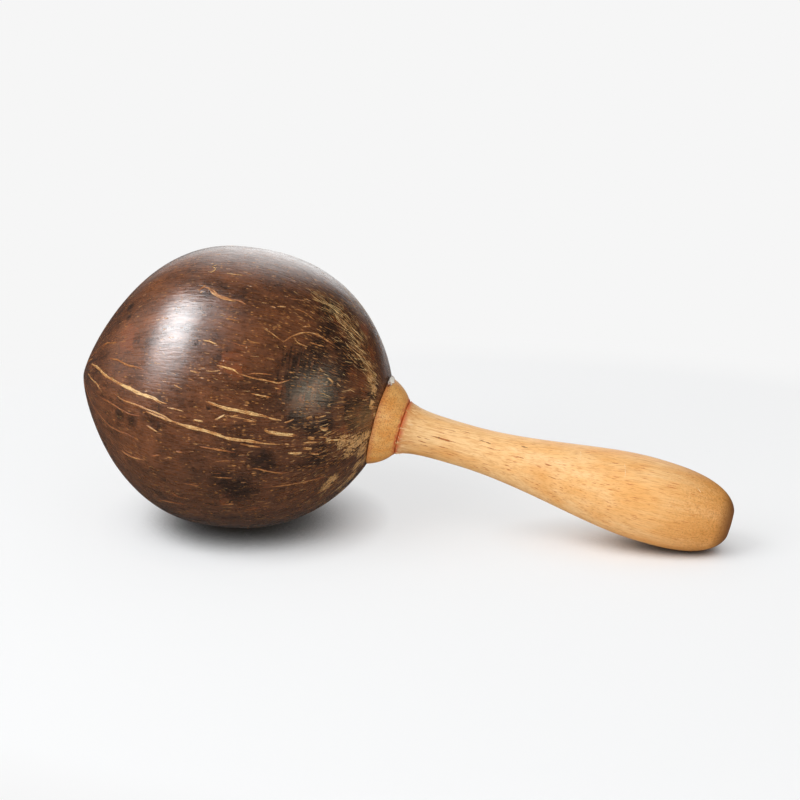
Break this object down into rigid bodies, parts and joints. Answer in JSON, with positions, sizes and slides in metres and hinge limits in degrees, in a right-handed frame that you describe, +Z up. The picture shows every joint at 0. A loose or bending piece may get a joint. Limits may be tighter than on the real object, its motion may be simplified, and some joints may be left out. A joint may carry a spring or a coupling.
{
  "type": "shell shaker",
  "caption": "Hand shaker made from a whole coconut shell on a turned club-shaped wooden handle, with loose seeds inside that rattle when it is shaken.",
  "frame": {"origin": "on the surface that the shaker lies on, below the middle of its bounding box", "axes": "+X along the shaker seen from above, from the shell's point towards the handle's butt; +Y across it; +Z up"},
  "size_m": [0.2362, 0.101, 0.1011],
  "materials": {
    "coconut_shell": "scraped, polished and varnished coconut shell, dark brown with pale fibre marks",
    "collar_wood": "turned orange-brown wood, oiled to a satin",
    "handle_wood": "turned and sanded pale honey hardwood with short pore dashes",
    "dried_glue": "dried white glue",
    "dried_seed": "dry hard seed, matt"
  },
  "bodies": {
    "shaker": {"coconut_shell": "coconut_shell", "collar": "collar_wood", "handle": "handle_wood", "glue_bead": "dried_glue"},
    "loose_seed_01": {"seed_01": "dried_seed"},
    "loose_seed_02": {"seed_02": "dried_seed"},
    "loose_seed_03": {"seed_03": "dried_seed"},
    "loose_seed_04": {"seed_04": "dried_seed"},
    "loose_seed_05": {"seed_05": "dried_seed"},
    "loose_seed_06": {"seed_06": "dried_seed"},
    "loose_seed_07": {"seed_07": "dried_seed"},
    "loose_seed_08": {"seed_08": "dried_seed"},
    "loose_seed_09": {"seed_09": "dried_seed"},
    "loose_seed_10": {"seed_10": "dried_seed"},
    "loose_seed_11": {"seed_11": "dried_seed"},
    "loose_seed_12": {"seed_12": "dried_seed"},
    "loose_seed_13": {"seed_13": "dried_seed"},
    "loose_seed_14": {"seed_14": "dried_seed"},
    "loose_seed_15": {"seed_15": "dried_seed"},
    "loose_seed_16": {"seed_16": "dried_seed"},
    "loose_seed_17": {"seed_17": "dried_seed"},
    "loose_seed_18": {"seed_18": "dried_seed"},
    "loose_seed_19": {"seed_19": "dried_seed"},
    "loose_seed_20": {"seed_20": "dried_seed"},
    "loose_seed_21": {"seed_21": "dried_seed"},
    "loose_seed_22": {"seed_22": "dried_seed"},
    "loose_seed_23": {"seed_23": "dried_seed"},
    "loose_seed_24": {"seed_24": "dried_seed"}
  },
  "joints": [
    {"name": "seed_01_hop", "type": "slide", "parent": "shaker", "child": "loose_seed_01", "axis": [0, 0, 1], "range_m": [0, 0.0864]},
    {"name": "seed_02_hop", "type": "slide", "parent": "shaker", "child": "loose_seed_02", "axis": [0, 0, 1], "range_m": [0, 0.0858]},
    {"name": "seed_03_hop", "type": "slide", "parent": "shaker", "child": "loose_seed_03", "axis": [0, 0, 1], "range_m": [0, 0.0854]},
    {"name": "seed_04_hop", "type": "slide", "parent": "shaker", "child": "loose_seed_04", "axis": [0, 0, 1], "range_m": [0, 0.0853]},
    {"name": "seed_05_hop", "type": "slide", "parent": "shaker", "child": "loose_seed_05", "axis": [0, 0, 1], "range_m": [0, 0.0846]},
    {"name": "seed_06_hop", "type": "slide", "parent": "shaker", "child": "loose_seed_06", "axis": [0, 0, 1], "range_m": [0, 0.0851]},
    {"name": "seed_07_hop", "type": "slide", "parent": "shaker", "child": "loose_seed_07", "axis": [0, 0, 1], "range_m": [0, 0.0837]},
    {"name": "seed_08_hop", "type": "slide", "parent": "shaker", "child": "loose_seed_08", "axis": [0, 0, 1], "range_m": [0, 0.0833]},
    {"name": "seed_09_hop", "type": "slide", "parent": "shaker", "child": "loose_seed_09", "axis": [0, 0, 1], "range_m": [0, 0.0845]},
    {"name": "seed_10_hop", "type": "slide", "parent": "shaker", "child": "loose_seed_10", "axis": [0, 0, 1], "range_m": [0, 0.0824]},
    {"name": "seed_11_hop", "type": "slide", "parent": "shaker", "child": "loose_seed_11", "axis": [0, 0, 1], "range_m": [0, 0.0825]},
    {"name": "seed_12_hop", "type": "slide", "parent": "shaker", "child": "loose_seed_12", "axis": [0, 0, 1], "range_m": [0, 0.0819]},
    {"name": "seed_13_hop", "type": "slide", "parent": "shaker", "child": "loose_seed_13", "axis": [0, 0, 1], "range_m": [0, 0.0811]},
    {"name": "seed_14_hop", "type": "slide", "parent": "shaker", "child": "loose_seed_14", "axis": [0, 0, 1], "range_m": [0, 0.0833]},
    {"name": "seed_15_hop", "type": "slide", "parent": "shaker", "child": "loose_seed_15", "axis": [0, 0, 1], "range_m": [0, 0.0803]},
    {"name": "seed_16_hop", "type": "slide", "parent": "shaker", "child": "loose_seed_16", "axis": [0, 0, 1], "range_m": [0, 0.0798]},
    {"name": "seed_17_hop", "type": "slide", "parent": "shaker", "child": "loose_seed_17", "axis": [0, 0, 1], "range_m": [0, 0.0815]},
    {"name": "seed_18_hop", "type": "slide", "parent": "shaker", "child": "loose_seed_18", "axis": [0, 0, 1], "range_m": [0, 0.0786]},
    {"name": "seed_19_hop", "type": "slide", "parent": "shaker", "child": "loose_seed_19", "axis": [0, 0, 1], "range_m": [0, 0.0806]},
    {"name": "seed_20_hop", "type": "slide", "parent": "shaker", "child": "loose_seed_20", "axis": [0, 0, 1], "range_m": [0, 0.078]},
    {"name": "seed_21_hop", "type": "slide", "parent": "shaker", "child": "loose_seed_21", "axis": [0, 0, 1], "range_m": [0, 0.0776]},
    {"name": "seed_22_hop", "type": "slide", "parent": "shaker", "child": "loose_seed_22", "axis": [0, 0, 1], "range_m": [0, 0.0811]},
    {"name": "seed_23_hop", "type": "slide", "parent": "shaker", "child": "loose_seed_23", "axis": [0, 0, 1], "range_m": [0, 0.0764]},
    {"name": "seed_24_hop", "type": "slide", "parent": "shaker", "child": "loose_seed_24", "axis": [0, 0, 1], "range_m": [0, 0.0765]}
  ]
}
